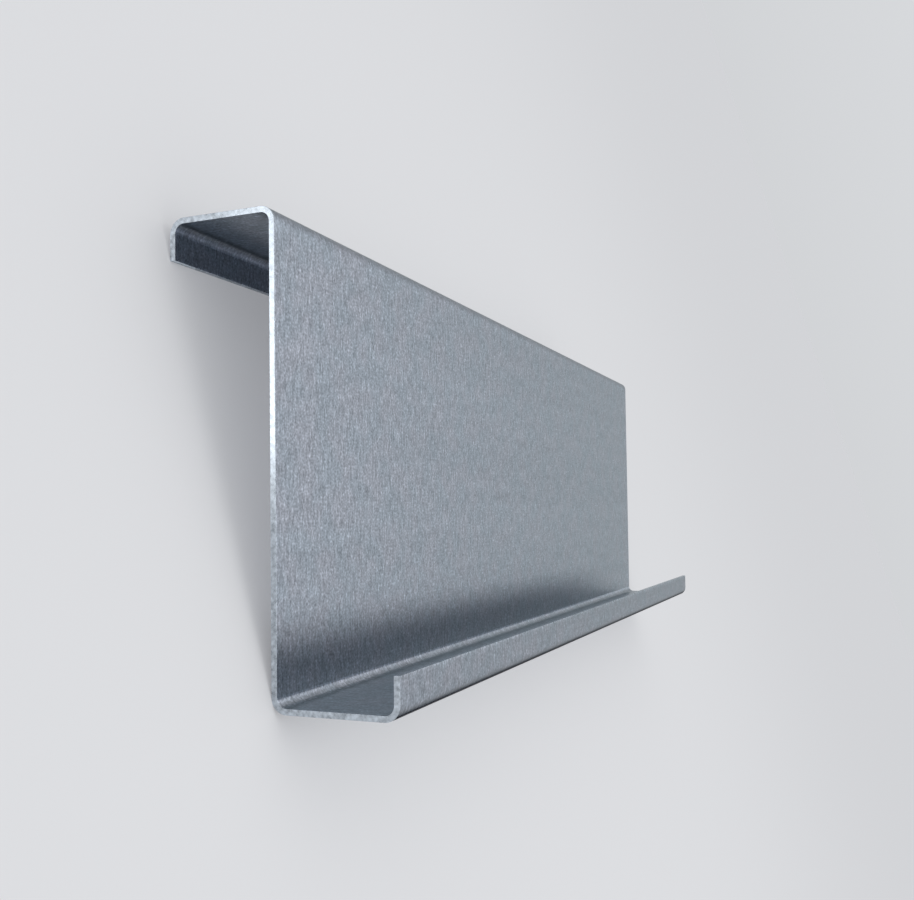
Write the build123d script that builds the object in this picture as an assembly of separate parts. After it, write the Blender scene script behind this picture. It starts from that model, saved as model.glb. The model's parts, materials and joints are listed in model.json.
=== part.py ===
from build123d import *
from math import asin, atan2, degrees
import os

# A lipped Z purlin: one strip of galvanised steel, roll-formed into a Z and cut square at both ends.
# One flange is narrower than the other, so that two purlins nest where they lap over a rafter.
# Lengths are in millimetres and angles in degrees.

# Driving sizes
section_depth = 200.0        # over the outer faces of both flanges
narrow_flange_width = 50.0   # over the web and the lip
wide_flange_width = 55.0     # over the web and the lip
lip_depth = 17.5             # over the flange
sheet_thickness = 2.5
inside_bend_radius = 4.0
purlin_length = 630.0

# Sizes that follow
half_sheet = sheet_thickness / 2
outside_bend_radius = inside_bend_radius + sheet_thickness
narrow_lip_offset = narrow_flange_width - sheet_thickness   # middle of the web to middle of the lip
wide_lip_offset = wide_flange_width - sheet_thickness


def sheet_middle():
    """The middle of the sheet across the section, from the narrow flange's lip to the wide one's.

    The section is drawn upright: the web on x = 0, the wide flange on y = 0 and to the right.
    """
    corners = [
        (-narrow_lip_offset, section_depth - lip_depth),
        (-narrow_lip_offset, section_depth - half_sheet),
        (0, section_depth - half_sheet),
        (0, half_sheet),
        (wide_lip_offset, half_sheet),
        (wide_lip_offset, lip_depth),
    ]
    return FilletPolyline(*corners, radius=inside_bend_radius + half_sheet)


def upright_purlin():
    """The purlin on its wide flange, with its length along Y and its near end at -Y."""
    section = Plane.XZ * trace(sheet_middle(), line_width=sheet_thickness)
    return extrude(section, amount=purlin_length / 2, both=True)


def roll_to_rest():
    """How far the upright purlin rolls about its length, towards the narrow flange, until it lies still.

    Its weight falls beside the flat of the wide flange, so it doesn't stay upright. It comes to rest on the
    free edge of the narrow flange's lip and on the bend between web and wide flange: the floor is the line
    through that edge that just touches that bend.
    """
    lip_edge = Vector(-narrow_lip_offset - half_sheet, section_depth - lip_depth)
    bend_centre = Vector(outside_bend_radius - half_sheet, outside_bend_radius)
    span = lip_edge - bend_centre
    lean_of_span = degrees(atan2(-span.X, span.Y))
    lean_to_touch_bend = degrees(asin(outside_bend_radius / span.length))
    return 90 - (lean_of_span - lean_to_touch_bend)


def stand_on_origin(piece):
    """Move a piece so that the middle of its footprint is the origin and its lowest point is at z = 0."""
    box = piece.bounding_box()
    return Pos(-box.center().X, -box.center().Y, -box.min.Z) * piece


purlin = stand_on_origin(Rot(Y=-roll_to_rest()) * upright_purlin())
purlin.label = "z_purlin"

os.makedirs("parts", exist_ok=True)
export_step(purlin, "parts/z_purlin.step")

size = purlin.bounding_box().size
print(f"rolled to rest by {roll_to_rest():.3f} degrees")
print(f"strip width before forming {sheet_middle().length:.1f} mm")
print(f"box {size.X:.2f} x {size.Y:.2f} x {size.Z:.2f} mm, volume {purlin.volume / 1000:.1f} cm3")
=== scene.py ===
import json
from math import atan2, cos, pi, sin

import bpy
from mathutils import Matrix, Vector


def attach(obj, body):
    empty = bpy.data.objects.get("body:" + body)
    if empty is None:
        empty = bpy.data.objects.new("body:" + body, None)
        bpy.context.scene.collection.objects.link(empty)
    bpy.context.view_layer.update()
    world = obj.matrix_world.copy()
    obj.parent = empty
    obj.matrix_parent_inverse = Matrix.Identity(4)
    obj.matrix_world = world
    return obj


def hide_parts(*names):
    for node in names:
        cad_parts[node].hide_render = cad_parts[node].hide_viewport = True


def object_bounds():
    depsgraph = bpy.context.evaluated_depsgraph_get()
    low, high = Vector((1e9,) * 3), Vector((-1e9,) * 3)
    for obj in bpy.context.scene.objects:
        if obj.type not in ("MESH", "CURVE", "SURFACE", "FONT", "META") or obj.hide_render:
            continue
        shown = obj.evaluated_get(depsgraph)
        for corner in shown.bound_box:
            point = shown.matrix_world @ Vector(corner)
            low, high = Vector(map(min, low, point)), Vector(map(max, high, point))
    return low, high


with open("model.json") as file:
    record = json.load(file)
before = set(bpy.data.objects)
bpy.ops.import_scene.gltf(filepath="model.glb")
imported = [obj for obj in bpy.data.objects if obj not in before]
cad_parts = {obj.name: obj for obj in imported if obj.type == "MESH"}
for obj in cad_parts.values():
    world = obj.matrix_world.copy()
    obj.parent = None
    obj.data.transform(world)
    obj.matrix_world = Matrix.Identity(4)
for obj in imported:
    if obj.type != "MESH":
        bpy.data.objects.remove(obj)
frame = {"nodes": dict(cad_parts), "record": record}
cad_low, cad_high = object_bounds()

# A lipped Z purlin in galvanised steel, lying as it comes to rest. Lengths are in metres.
# Section coordinates stand the purlin up: x across the web towards the wide flange, y along the length
# from the near end, z up from the wide flange's outer face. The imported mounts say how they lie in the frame.
NODE = "z_purlin"
BODY = "root"
MOUNTS = {mount["name"]: mount for mount in frame["record"]["mounts"]}


def mount_place(name):
    return Vector(MOUNTS[name]["pos_m"])


ACROSS = Vector(MOUNTS["web_face_wide_side"]["axis"])
ALONG = Vector((0, 1, 0))
UPWARD = ACROSS.cross(ALONG)
HAIR = 1e-5     # places closer than this are one


def section_frame():
    """The matrix from section coordinates to the frame."""
    web_middle = (mount_place("web_face_wide_side") + mount_place("web_face_narrow_side")) / 2
    origin = ACROSS * web_middle.dot(ACROSS) + UPWARD * mount_place("wide_flange_face").dot(UPWARD)
    origin.y = cad_low.y
    matrix = Matrix((ACROSS, ALONG, UPWARD)).transposed().to_4x4()
    matrix.translation = origin
    return matrix


SECTION = section_frame()


def measure_section():
    """The section's sizes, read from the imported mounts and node."""
    to_section = SECTION.inverted()
    points = [to_section @ vertex.co for vertex in frame["nodes"][NODE].data.vertices]
    left = min(point.x for point in points)
    right = max(point.x for point in points)
    narrow_lip = [point.z for point in points if point.x < left + HAIR]
    wide_lip = [point.z for point in points if point.x > right - HAIR]
    return {
        "sheet": (mount_place("web_face_wide_side") - mount_place("web_face_narrow_side")).dot(ACROSS),
        "depth": max(point.z for point in points),
        "length": max(point.y for point in points),
        "left": left,
        "right": right,
        "wide_lip_top": max(wide_lip),
        "narrow_lip_bottom": min(narrow_lip),
        "outside_radius": min(wide_lip),
    }


SIZES = measure_section()
HALF_SHEET = SIZES["sheet"] / 2
MIDDLE_RADIUS = SIZES["outside_radius"] - HALF_SHEET

# The sheet's mesh
FREE_EDGE_ROUND = 0.00025
CUT_END_ROUND = 0.00016
ROUND_STEPS = 3
BEND_STEPS = 18
FLAT_STEP = 0.023
LENGTH_STEP = 0.035

# The marks that its finish reads: painted shade outside the bends and lips, a painted highlight and painted
# shade inside the bends, and the rubbed edges. Past a bend or an edge they fade out over MARK_FADE.
# CREASE_SHIFT, in radians, moves the painted highlight and painted shade inside a bend towards the web or lip.
MARK_FADE = 0.003
# How much shade is painted outside the bends of the wide flange, of the narrow flange, and on the lips.
WIDE_BEND_PAINTED_SHADE = 4.2
NARROW_BEND_PAINTED_SHADE = 0.6
LIP_PAINTED_SHADE = 0.12
CREASE_SHIFT = 0.5
WIDE_CREASE_FLOOR = -0.45


class Station:
    """A place on the sheet's middle line, in section coordinates.

    facing is the way out through one side of the sheet. In a bend and on a lip, outside tells which side is the
    section's outer one: 1 for the side that it faces, -1 for the other. The outside mark is how much shade is
    painted there. The inside mark of a bend paints a highlight, about 1 beside the web or lip, and shade, about
    -1 beside the flange.
    """

    def __init__(self, place, heading):
        self.place = place
        self.heading = heading
        self.facing = Vector((heading.z, 0, -heading.x))
        self.outside = 0
        self.painted_shade = 0
        self.painted_crease_light = 0


class Rim:
    """A point of the section's outline, with the way out of the steel and the marks that the finish reads."""

    def __init__(self, place, out):
        self.place = place
        self.out = out
        self.marks = {"painted_outside_shade": 0, "painted_crease_light": 0, "edge": 0}
        self.distance = 0


def strip_corners():
    """The corners of the sheet's middle line, from the wide lip's free edge to the narrow lip's."""
    wide_lip = SIZES["right"] - HALF_SHEET
    narrow_lip = SIZES["left"] + HALF_SHEET
    top = SIZES["depth"] - HALF_SHEET
    return [
        Vector((wide_lip, 0, SIZES["wide_lip_top"] - FREE_EDGE_ROUND)),
        Vector((wide_lip, 0, HALF_SHEET)),
        Vector((0, 0, HALF_SHEET)),
        Vector((0, 0, top)),
        Vector((narrow_lip, 0, top)),
        Vector((narrow_lip, 0, SIZES["narrow_lip_bottom"] + FREE_EDGE_ROUND)),
    ]


def even_steps(first, last, step):
    count = max(1, round((last - first) / step))
    return [first + (last - first) * index / count for index in range(count + 1)]


def flat_stations(start, end):
    """Stations along a flat, with one near each end, where the marks of a bend or an edge have faded out."""
    heading = (end - start).normalized()
    length = (end - start).length
    steps = [0] + even_steps(MARK_FADE, length - MARK_FADE, FLAT_STEP) + [length]
    stations = [Station(start + heading * step, heading) for step in steps]
    is_lip = abs(heading.x) < HAIR < abs(start.x)
    if is_lip:
        for station in stations:
            station.outside = station.facing.x * start.x / abs(start.x)
            # The lip's outside gets painted shade.
            station.painted_shade = LIP_PAINTED_SHADE
    return stations


def mark_bend(station, corner):
    """Paints shade on a bend's outside, and a highlight and shade on its inside.

    A bend of the wide flange has its darkest painted shade outside on the flange's side, and the painted shade
    inside it is less dark there.
    """
    across, upright = abs(station.heading.x), abs(station.heading.z)
    if across > HAIR:
        # Inside, a painted highlight beside the web or lip and painted shade beside the flange.
        station.painted_crease_light = cos(2 * atan2(across, upright) + CREASE_SHIFT)
    at_wide_flange = corner.z < HALF_SHEET + HAIR
    if at_wide_flange:
        # Outside, painted shade, darkest beside the flange on the wide flange's bends.
        station.painted_shade = WIDE_BEND_PAINTED_SHADE * across ** 3 * upright
        station.painted_crease_light = max(station.painted_crease_light, WIDE_CREASE_FLOOR)
    else:
        station.painted_shade = NARROW_BEND_PAINTED_SHADE * across * upright
    at_lip = abs(corner.x) > HAIR
    if at_lip:
        station.painted_shade += LIP_PAINTED_SHADE * upright


def bend_stations(corner, heading, next_heading):
    """Stations round a right-angled bend."""
    centre = corner + (next_heading - heading) * MIDDLE_RADIUS
    stations = []
    for step in range(BEND_STEPS + 1):
        angle = pi / 2 * step / BEND_STEPS
        out = heading * sin(angle) - next_heading * cos(angle)
        turned = heading * cos(angle) + next_heading * sin(angle)
        station = Station(centre + out * MIDDLE_RADIUS, turned)
        station.outside = station.facing.dot(out)
        mark_bend(station, corner)
        stations.append(station)
    return stations


def walk_strip():
    """Every station along the sheet's middle line. A bend's end stations also end the flats beside it."""
    corners = strip_corners()
    headings = [(end - start).normalized() for start, end in zip(corners, corners[1:])]
    stations = []
    start = corners[0]
    for corner, heading, next_heading in zip(corners[1:], headings, headings[1:]):
        bend = bend_stations(corner, heading, next_heading)
        stations += flat_stations(start, bend[0].place)[bool(stations):-1] + bend
        start = bend[-1].place
    return stations + flat_stations(start, corners[-1])[1:]


def face_rim(station, side):
    """The outline's point beside a station: on the side that it faces for 1, on the other one for -1."""
    rim = Rim(station.place + station.facing * HALF_SHEET * side, station.facing * side)
    if station.outside * side > 0:
        rim.marks["painted_outside_shade"] = station.painted_shade
    elif station.outside:
        rim.marks["painted_crease_light"] = station.painted_crease_light
    return rim


def free_edge(end, facing, heading):
    """The rounded free edge past one end of the strip, from the side that faces this way to the other."""
    rims = []
    for side, first_angle in ((1, 0), (-1, pi / 2)):
        centre = end.place + facing * side * (HALF_SHEET - FREE_EDGE_ROUND)
        for step in range(ROUND_STEPS + 1):
            angle = first_angle + pi / 2 * step / ROUND_STEPS
            out = facing * cos(angle) + heading * sin(angle)
            rims.append(Rim(centre + out * FREE_EDGE_ROUND, out))
            rims[-1].marks["edge"] = 1
    return rims


def section_outline(stations):
    """The closed outline: one side of the sheet, a free edge, the other side back, the other free edge."""
    first, *inner, last = stations
    rims = [face_rim(each, 1) for each in inner]
    rims += free_edge(last, last.facing, last.heading)
    rims += [face_rim(each, -1) for each in reversed(inner)]
    rims += free_edge(first, -first.facing, -first.heading)
    for before, rim in zip(rims, rims[1:]):
        rim.distance = before.distance + (rim.place - before.place).length
    return rims


class Ring:
    """A turn of the outline at one distance along the length.

    inset is how far it is drawn in, where the end's cut edge is rounded. lean is how much the surface faces
    along the length there.
    """

    def __init__(self, along, inset, lean, edge):
        self.along = along
        self.inset = inset
        self.lean = lean
        self.edge = edge


def length_rings():
    """The rings from the near end to the far end."""
    near = []
    for step in range(ROUND_STEPS + 1):
        angle = pi / 2 * step / ROUND_STEPS
        near.append(Ring(CUT_END_ROUND * (1 - cos(angle)), CUT_END_ROUND * (1 - sin(angle)), -cos(angle), 1))
    length = SIZES["length"]
    middle = [Ring(along, 0, 0, 0) for along in even_steps(MARK_FADE, length - MARK_FADE, LENGTH_STEP)]
    far = [Ring(length - ring.along, ring.inset, -ring.lean, ring.edge) for ring in reversed(near)]
    return near + middle + far


def sheet_vertices(rims, rings):
    """Every vertex with its way out of the steel, and the marks that its finish reads."""
    turn = SECTION.to_3x3()
    places = []
    outs = []
    marks = {"painted_outside_shade": [], "painted_crease_light": [], "edge": []}
    for ring in rings:
        for rim in rims:
            places.append(SECTION @ (rim.place - rim.out * ring.inset + ALONG * ring.along))
            outs.append(turn @ (rim.out * (1 - ring.lean ** 2) ** 0.5 + ALONG * ring.lean))
            for name, values in marks.items():
                values.append(rim.marks[name])
            marks["edge"][-1] = max(rim.marks["edge"], ring.edge)
    return places, outs, marks


def side_faces(around, turns):
    """Four-sided faces between each two rings."""
    faces = []
    for start in range(0, around * (turns - 1), around):
        for index in range(around):
            after = (index + 1) % around
            faces.append((start + after, start + index, start + around + index, start + around + after))
    return faces


def cut_faces(around, per_side, per_edge):
    """The near cut end: four-sided faces across the sheet, and one face inside each free edge."""
    back = 2 * per_side + per_edge - 1
    faces = [(index, index + 1, back - index - 1, back - index) for index in range(per_side - 1)]
    faces.append(tuple(range(per_side - 1, per_side + per_edge + 1)))
    faces.append((0,) + tuple(range(back, around)))
    return faces


def add_marks(mesh, rims, rings, marks):
    """Gives the mesh what its finish reads: the marks, and each corner's place on the unrolled sheet."""
    for name, values in marks.items():
        mesh.attributes.new(name, "FLOAT", "POINT").data.foreach_set("value", values)
    around = len(rims)
    whole_turn = rims[-1].distance + (rims[0].place - rims[-1].place).length
    unrolled = mesh.attributes.new("unrolled", "FLOAT_VECTOR", "CORNER")
    for face in mesh.polygons:
        indices = [mesh.loops[loop].vertex_index for loop in face.loop_indices]
        past_seam = {0, around - 1} <= {index % around for index in indices} and len(indices) == 4
        for loop, index in zip(face.loop_indices, indices):
            turn, step = divmod(index, around)
            distance = whole_turn if past_seam and step == 0 else rims[step].distance
            unrolled.data[loop].vector = (distance, rings[turn].along, 0)


def make_sheet():
    """The purlin as one formed sheet. Its first material is for the zinc, its second for the cut ends."""
    stations = walk_strip()
    rims = section_outline(stations)
    rings = length_rings()
    around = len(rims)
    places, outs, marks = sheet_vertices(rims, rings)
    sides = side_faces(around, len(rings))
    near_cut = cut_faces(around, len(stations) - 2, 2 * (ROUND_STEPS + 1))
    last_ring = (len(rings) - 1) * around
    far_cut = [tuple(last_ring + corner for corner in reversed(face)) for face in near_cut]
    mesh = bpy.data.meshes.new("formed_sheet")
    mesh.from_pydata(places, [], sides + near_cut + far_cut)
    add_marks(mesh, rims, rings, marks)
    mesh.polygons.foreach_set("use_smooth", [True] * len(mesh.polygons))
    mesh.normals_split_custom_set_from_vertices(outs)
    rounded = ROUND_STEPS * around
    cut = [index < rounded or index >= len(sides) - rounded for index in range(len(mesh.polygons))]
    mesh.polygons.foreach_set("material_index", [int(each) for each in cut])
    sheet = bpy.data.objects.new("formed_sheet", mesh)
    bpy.context.scene.collection.objects.link(sheet)
    return sheet


# The camera stands where the photograph was taken from, in section coordinates. It looks straight at the
# photograph's pixel VIEW_ACROSS, VIEW_DOWN, which isn't quite its middle.
EYE = Vector((0.215078, -0.346311, 0.076685))
YAW, PITCH, ROLL = -0.40342, 0.03960, -0.01189
FOCAL_PIXELS = 1031.61
PHOTO_WIDTH, PHOTO_HEIGHT = 914, 900
VIEW_ACROSS, VIEW_DOWN = 431.07, 473.81
SENSOR_WIDTH = 36.0


def add_camera():
    forward = Vector((sin(YAW) * cos(PITCH), cos(YAW) * cos(PITCH), sin(PITCH)))
    level = Vector((cos(YAW), -sin(YAW), 0))
    above = level.cross(forward)
    right = level * cos(ROLL) + above * sin(ROLL)
    top = above * cos(ROLL) - level * sin(ROLL)
    pose = Matrix((right, top, -forward)).transposed().to_4x4()
    pose.translation = EYE
    data = bpy.data.cameras.new("camera")
    data.sensor_width = SENSOR_WIDTH
    data.lens = FOCAL_PIXELS / PHOTO_WIDTH * SENSOR_WIDTH
    data.shift_x = (PHOTO_WIDTH / 2 - VIEW_ACROSS) / PHOTO_WIDTH
    data.shift_y = (VIEW_DOWN - PHOTO_HEIGHT / 2) / PHOTO_WIDTH
    camera = bpy.data.objects.new("camera", data)
    camera.matrix_world = SECTION @ pose
    bpy.context.scene.collection.objects.link(camera)
    bpy.context.scene.camera = camera


class Finish:
    """A material, with short ways to add its nodes."""

    def __init__(self, name):
        self.material = bpy.data.materials.new(name)
        self.material.use_nodes = True
        self.tree = self.material.node_tree
        self.shader = self.tree.nodes["Principled BSDF"]

    def feed(self, socket, value):
        if isinstance(value, bpy.types.NodeSocket):
            self.tree.links.new(value, socket)
        else:
            socket.default_value = value

    def add(self, kind, inputs, **settings):
        node = self.tree.nodes.new(kind)
        for name, value in settings.items():
            setattr(node, name, value)
        for name, value in inputs.items():
            self.feed(node.inputs[name], value)
        return node

    def shade(self, **inputs):
        for name, value in inputs.items():
            self.feed(self.shader.inputs[name.replace("_", " ")], value)

    def mark(self, name):
        return self.add("ShaderNodeAttribute", {}, attribute_name=name)

    def combine(self, operation, first, *others):
        """Adds, multiplies or raises the first value by each other one in turn."""
        for other in others:
            first = self.add("ShaderNodeMath", {0: first, 1: other}, operation=operation).outputs[0]
        return first

    def stretch(self, vector, scale):
        return self.add("ShaderNodeVectorMath", {0: vector, 1: scale}, operation="MULTIPLY").outputs[0]

    def dim(self, colour, tone):
        return self.add("ShaderNodeVectorMath", {0: colour, "Scale": tone}, operation="SCALE").outputs[0]

    def blend(self, share, first, second):
        """The first colour where the share is 0, the second where it is 1."""
        inputs = {"Factor": share, "A": first, "B": second}
        return self.add("ShaderNodeMix", inputs, data_type="RGBA").outputs["Result"]

    def noise(self, vector, size, detail, roughness=0.5):
        """Soft noise about 0.5, whose blotches are about this size."""
        inputs = {"Vector": vector, "Scale": 1 / size, "Detail": detail, "Roughness": roughness}
        return self.add("ShaderNodeTexNoise", inputs).outputs["Fac"]

    def blotches(self, place, sizes, detail):
        """Soft noise about 0.5, whose blotches have one size across the strip and another along it."""
        across, along = sizes
        return self.noise(self.stretch(place, (1 / across, 1 / along, 1)), 1, detail)

    def spread(self, value, low, high, low_to, high_to):
        """Turns low..high into low_to..high_to, without going past either end."""
        inputs = {"Value": value, "From Min": low, "From Max": high, "To Min": low_to, "To Max": high_to}
        return self.add("ShaderNodeMapRange", inputs).outputs[0]

    def swing(self, value, amount):
        """Turns noise about 0.5 into a swing about 0."""
        return self.combine("MULTIPLY", self.combine("ADD", value, -0.5), amount)

    def bump(self, height, distance):
        inputs = {"Height": height, "Strength": 1.0, "Distance": distance}
        return self.add("ShaderNodeBump", inputs).outputs[0]


# The zinc's pattern. The pairs of sizes are across the strip and along it.
GRAIN_SIZES, GRAIN_SWING = (0.0010, 0.0010), 0.4
CRYSTAL_SIZES, CRYSTAL_SWING = (0.0028, 0.0020), -0.09
STREAK_SIZES, STREAK_SWING = (0.007, 0.0016), 0.26
SPECK_SIZES = (0.0017, 0.0014)
SPECK_FROM, SPECK_FULL = 0.55, 0.8
NO_SPECK_LIFT, SPECK_LIFT = -0.01, 0.08
BAND_SIZES, BAND_SWING = (0.011, 5 / 6), 0.05
PATCH_SIZE, PATCH_SWING = 0.016, 0.035
PATCH_FROM, PATCH_FULL = 0.38, 0.62
CONTRAST = 3.2

# Its colours, and what its marks do to it: painted shade and a painted warmer reflection outside the bends and
# lips, and a painted highlight and painted shade inside the bends
ZINC_BLUE = (0.424, 0.468, 0.528, 1)
ZINC_GREY = (0.444, 0.466, 0.524, 1)
# A painted warmer reflection outside the bends and lips, full from this mark on.
PAINTED_REFLECTION_TINT = (1.0, 0.965, 0.975)
PAINTED_REFLECTION_TINT_FULL = 0.25
# Painted shade outside the bends and lips: the tone where none is painted, the darkest tone, and the mark at
# which it is reached.
FLAT_TONE, PAINTED_SHADE_TONE = 0.97, 0.56
PAINTED_SHADE_FULL = 0.5
GRAZING_TINT = (0.665, 0.705, 0.69, 1)
# Painted shade on the grazing reflection outside the wide bends: its tint fades to black from this mark on.
SHADED_GRAZING_TINT = (0, 0, 0, 1)
GRAZING_SHADE_FROM = 0.4
# The painted shade and the painted highlight inside the bends.
CREASE_PAINTED_SHADE, CREASE_PAINTED_HIGHLIGHT = 0.5, 1.6
ZINC_ROUGHNESS, ROUGHNESS_SWING = 0.32, 0.1
ZINC_BUMP = 0.00002

# How it is rubbed along its edges
RUB_SIZE, RUB_ROUGHNESS, RUB_SWING = 0.004, 0.6, 0.9
WEAR_FROM, WEAR_FULL = 0.75, 1.1
WORN_TONE, WORN_ROUGHNESS = 1.25, -0.06


def zinc_pattern(finish, place, grain, patch):
    """The mottled zinc's tone, about 1: grain, crystals, streaks across the strip, specks, bands and patches."""
    crystal_place = finish.stretch(place, tuple(1 / size for size in CRYSTAL_SIZES) + (1,))
    crystal = finish.add("ShaderNodeTexVoronoi", {"Vector": crystal_place, "Scale": 1.0}).outputs["Distance"]
    streak = finish.blotches(place, STREAK_SIZES, detail=1)
    speck = finish.blotches(place, SPECK_SIZES, detail=0)
    band = finish.blotches(place, BAND_SIZES, detail=2)
    pattern = finish.combine(
        "ADD",
        finish.swing(grain, GRAIN_SWING),
        finish.swing(crystal, CRYSTAL_SWING),
        finish.swing(streak, STREAK_SWING),
        finish.spread(speck, SPECK_FROM, SPECK_FULL, NO_SPECK_LIFT, SPECK_LIFT),
        finish.swing(band, BAND_SWING),
        finish.swing(patch, PATCH_SWING),
        1,
    )
    return finish.combine("POWER", pattern, CONTRAST)


def galvanised():
    """Dull zinc with a mottled pattern, bluish and greyer patches, painted shade and reflection outside the
    bends and lips, a painted highlight and painted shade inside the bends, and rubbed edges.
    """
    finish = Finish("galvanised")
    place = finish.mark("unrolled").outputs["Vector"]
    painted_outside_shade = finish.mark("painted_outside_shade").outputs["Fac"]
    painted_crease_light = finish.mark("painted_crease_light").outputs["Fac"]
    edge = finish.mark("edge").outputs["Fac"]
    grain = finish.blotches(place, GRAIN_SIZES, detail=1)
    patch = finish.noise(place, PATCH_SIZE, detail=2)
    rubs = finish.noise(place, RUB_SIZE, detail=2, roughness=RUB_ROUGHNESS)
    rubbed = finish.combine("ADD", edge, finish.swing(rubs, RUB_SWING))
    wear = finish.spread(rubbed, WEAR_FROM, WEAR_FULL, 0, 1)
    tone = finish.combine(
        "MULTIPLY",
        zinc_pattern(finish, place, grain, patch),
        # Painted shade outside the bends and lips.
        finish.spread(painted_outside_shade, 0, PAINTED_SHADE_FULL, FLAT_TONE, PAINTED_SHADE_TONE),
        # Painted shade and a painted highlight inside the bends.
        finish.spread(painted_crease_light, -1, 0, CREASE_PAINTED_SHADE, 1),
        finish.spread(painted_crease_light, 0, 1, 1, CREASE_PAINTED_HIGHLIGHT),
        finish.spread(wear, 0, 1, 1, WORN_TONE),
    )
    zinc = finish.blend(finish.spread(patch, PATCH_FROM, PATCH_FULL, 0, 1), ZINC_BLUE, ZINC_GREY)
    # A painted warmer reflection outside the bends and lips.
    painted_reflection_zinc = finish.stretch(zinc, PAINTED_REFLECTION_TINT)
    hue = finish.blend(finish.spread(painted_outside_shade, 0, PAINTED_REFLECTION_TINT_FULL, 0, 1), zinc, painted_reflection_zinc)
    roughness = finish.combine(
        "ADD",
        finish.swing(grain, ROUGHNESS_SWING),
        ZINC_ROUGHNESS,
        finish.spread(wear, 0, 1, 0, WORN_ROUGHNESS),
    )
    # Painted shade: the grazing reflection fades to black outside the wide bends.
    grazing = finish.blend(finish.spread(painted_outside_shade, GRAZING_SHADE_FROM, 1, 0, 1), GRAZING_TINT, SHADED_GRAZING_TINT)
    finish.shade(Metallic=1.0, Base_Color=finish.dim(hue, tone), Roughness=roughness)
    finish.shade(Specular_Tint=grazing, Normal=finish.bump(grain, ZINC_BUMP))
    return finish.material


CUT_STEEL = (0.49, 0.54, 0.59)
CUT_ROUGHNESS, CUT_ROUGHNESS_SWING = 0.3, 0.3
CUT_BUMP = 0.00005
MOTTLE_SIZE = 0.0019
MOTTLE_FROM, MOTTLE_FULL = 0.28, 0.72
MOTTLE_DARK, MOTTLE_LIGHT = 0.68, 1.32


def cut_steel():
    """The sheared ends: bare steel with a cloudy mottle."""
    finish = Finish("cut_steel")
    place = finish.add("ShaderNodeTexCoord", {}).outputs["Object"]
    mottle = finish.noise(place, MOTTLE_SIZE, detail=2)
    tone = finish.spread(mottle, MOTTLE_FROM, MOTTLE_FULL, MOTTLE_DARK, MOTTLE_LIGHT)
    roughness = finish.combine("ADD", finish.swing(mottle, CUT_ROUGHNESS_SWING), CUT_ROUGHNESS)
    finish.shade(Metallic=1.0, Base_Color=finish.dim(CUT_STEEL, tone), Roughness=roughness)
    finish.shade(Normal=finish.bump(mottle, CUT_BUMP))
    return finish.material


# The floor and the surround. The surround's light grows with height, from 0 at the horizon to 1 straight up, and
# is full from FULL_LIGHT_HEIGHT on.
FLOOR_REACH = 40
FLOOR_COLOUR = (0.585, 0.585, 0.59)
FLOOR_GLOW = (0.20, 0.20, 0.205)
LIGHT_TINT = (0.98, 1.0, 1.03)
OVERHEAD_LIGHT = 0.80
FULL_LIGHT_HEIGHT = 0.6


def add_floor():
    """A pale light table, whose own faint glow fills the shadows."""
    corners = [(x * FLOOR_REACH, y * FLOOR_REACH, 0) for x, y in ((-1, -1), (1, -1), (1, 1), (-1, 1))]
    mesh = bpy.data.meshes.new("floor")
    mesh.from_pydata(corners, [], [(0, 1, 2, 3)])
    floor = bpy.data.objects.new("floor", mesh)
    bpy.context.scene.collection.objects.link(floor)
    table = Finish("light_table")
    table.shade(Base_Color=FLOOR_COLOUR + (1,), Roughness=1.0, Specular_IOR_Level=0.0)
    table.shade(Emission_Color=FLOOR_GLOW + (1,), Emission_Strength=1.0)
    mesh.materials.append(table.material)


def horizon_light():
    """The light at the horizon that gives the surround the far floor's tone, so that no horizon shows.

    The floor is lit as if overhead_share of the surround had OVERHEAD_LIGHT, and the rest the horizon's light.
    """
    glow, colour = FLOOR_GLOW[1], FLOOR_COLOUR[1]
    overhead_share = 1 - FULL_LIGHT_HEIGHT ** 2 / 3
    return (glow + colour * overhead_share * OVERHEAD_LIGHT) / (1 - colour * (1 - overhead_share))


def add_studio():
    """A pale surround, brighter overhead."""
    world = bpy.data.worlds.new("studio")
    world.use_nodes = True
    nodes, links = world.node_tree.nodes, world.node_tree.links
    light = nodes["Background"]
    light.inputs["Color"].default_value = LIGHT_TINT + (1,)
    place = nodes.new("ShaderNodeTexCoord")
    height = nodes.new("ShaderNodeSeparateXYZ")
    links.new(place.outputs["Generated"], height.inputs[0])
    level = nodes.new("ShaderNodeMapRange")
    level.inputs["From Max"].default_value = FULL_LIGHT_HEIGHT
    level.inputs["To Min"].default_value = horizon_light()
    level.inputs["To Max"].default_value = OVERHEAD_LIGHT
    links.new(height.outputs["Z"], level.inputs["Value"])
    links.new(level.outputs[0], light.inputs["Strength"])
    bpy.context.scene.world = world


def add_lamp(name, place, size, power):
    data = bpy.data.lights.new(name, "AREA")
    data.shape = "RECTANGLE"
    data.size, data.size_y = size
    data.energy = power
    light = bpy.data.objects.new(name, data)
    light.location = place
    light.visible_camera = False
    bpy.context.scene.collection.objects.link(light)
    return light


SOFTBOX_PLACE = Vector((0.3, -0.2, 1.4))
SOFTBOX_SIZE = (0.8, 0.8)
SOFTBOX_POWER = 3


def add_softbox():
    """A soft lamp that looks down at the purlin."""
    light = add_lamp("overhead", SOFTBOX_PLACE, SOFTBOX_SIZE, SOFTBOX_POWER)
    light.rotation_euler = (-SOFTBOX_PLACE).to_track_quat("-Z", "Y").to_euler()


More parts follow.
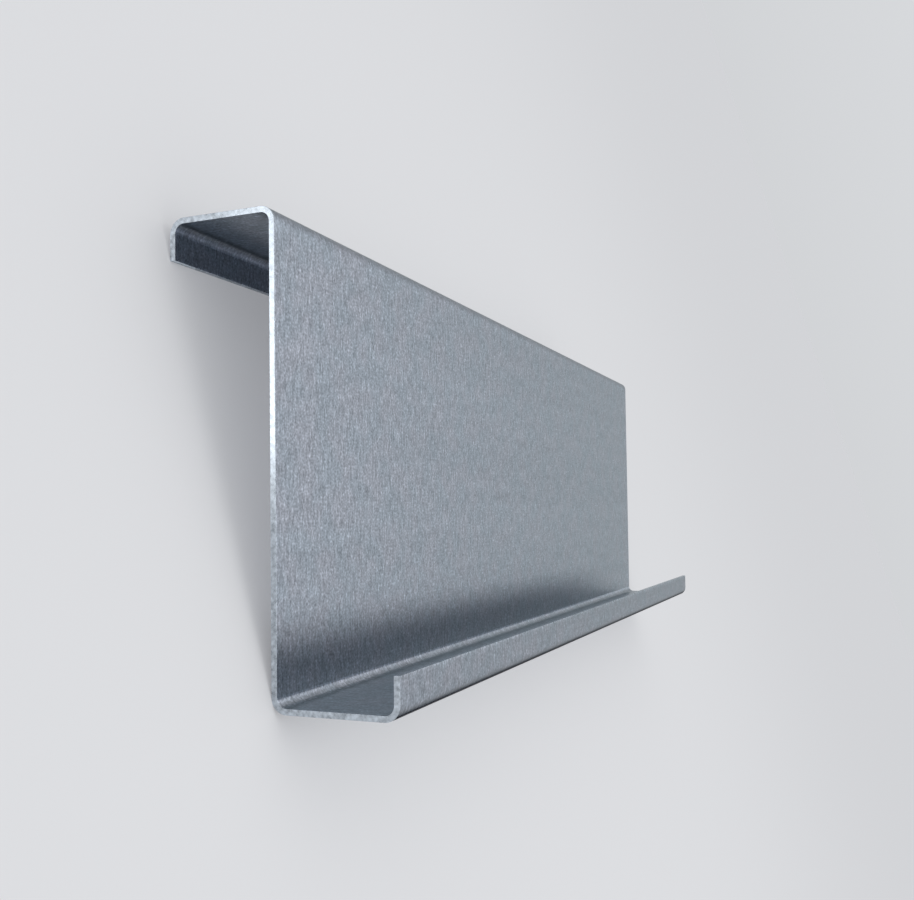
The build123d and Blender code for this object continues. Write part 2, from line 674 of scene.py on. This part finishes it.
# The strips of light on the floor. Their light is in watts for each square metre. The camera sees three of them
# mirrored in the near cut end, at these places across the section and up it.
STRIP_LIFT = 0.001
WEB_FADE_FROM, WEB_GLINT_FROM, WEB_GLINT_TO = 0.076, 0.098, 0.212
WEB_STRIP_WIDTH = 0.045
WEB_GLINT_LIGHT, WEB_FADE_LIGHT = 6.2, 1.15
FLANGE_GLINT_FROM, LIP_GLINT_TO = -0.014, 0.170
FLANGE_STRIP_WIDTH = 0.05
FLANGE_GLINT_LIGHT = 0.9

# The fourth lies under the web and fills the hollow there. Its fan is the angle that its light keeps within.
HOLLOW_MIDDLE = -0.013
HOLLOW_STRIP_WIDTH = 0.145
HOLLOW_LIGHT = 0.95
HOLLOW_FAN = 1.9


def glint_spot(across, up):
    """Where the camera's view of this place on the near cut end, mirrored there, meets the floor."""
    point = SECTION @ Vector((across, 0, up))
    ray = point - SECTION @ EYE
    ray.y = -ray.y
    return point - ray * (point.z / ray.z)


def add_strip(name, start, end, width, brightness, fan=pi):
    """A strip of light that lies on the floor between two spots and faces up."""
    run = end - start
    middle = (start + end) / 2
    power = brightness * run.length * width
    light = add_lamp(name, middle + Vector((0, 0, STRIP_LIFT)), (run.length, width), power)
    light.rotation_euler = (pi, 0, atan2(run.y, run.x))
    light.data.spread = fan


def add_strips():
    fade_from, glint_from, glint_to = (
        glint_spot(0, up) for up in (WEB_FADE_FROM, WEB_GLINT_FROM, WEB_GLINT_TO)
    )
    flange_from = glint_spot(FLANGE_GLINT_FROM, SIZES["depth"])
    lip_to = glint_spot(SIZES["left"], LIP_GLINT_TO)
    hollow_from = Vector((HOLLOW_MIDDLE, cad_low.y, 0))
    hollow_to = Vector((HOLLOW_MIDDLE, cad_high.y, 0))
    add_strip("web_glint", glint_from, glint_to, WEB_STRIP_WIDTH, WEB_GLINT_LIGHT)
    add_strip("web_fade", fade_from, glint_from, WEB_STRIP_WIDTH, WEB_FADE_LIGHT)
    add_strip("flange_glint", flange_from, lip_to, FLANGE_STRIP_WIDTH, FLANGE_GLINT_LIGHT)
    add_strip("hollow_fill", hollow_from, hollow_to, HOLLOW_STRIP_WIDTH, HOLLOW_LIGHT, HOLLOW_FAN)


add_camera()
sheet = make_sheet()
sheet.data.materials.append(galvanised())
sheet.data.materials.append(cut_steel())
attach(sheet, BODY)
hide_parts(NODE)
add_floor()
add_studio()
add_softbox()
add_strips()

bpy.context.scene.view_settings.view_transform = "Standard"
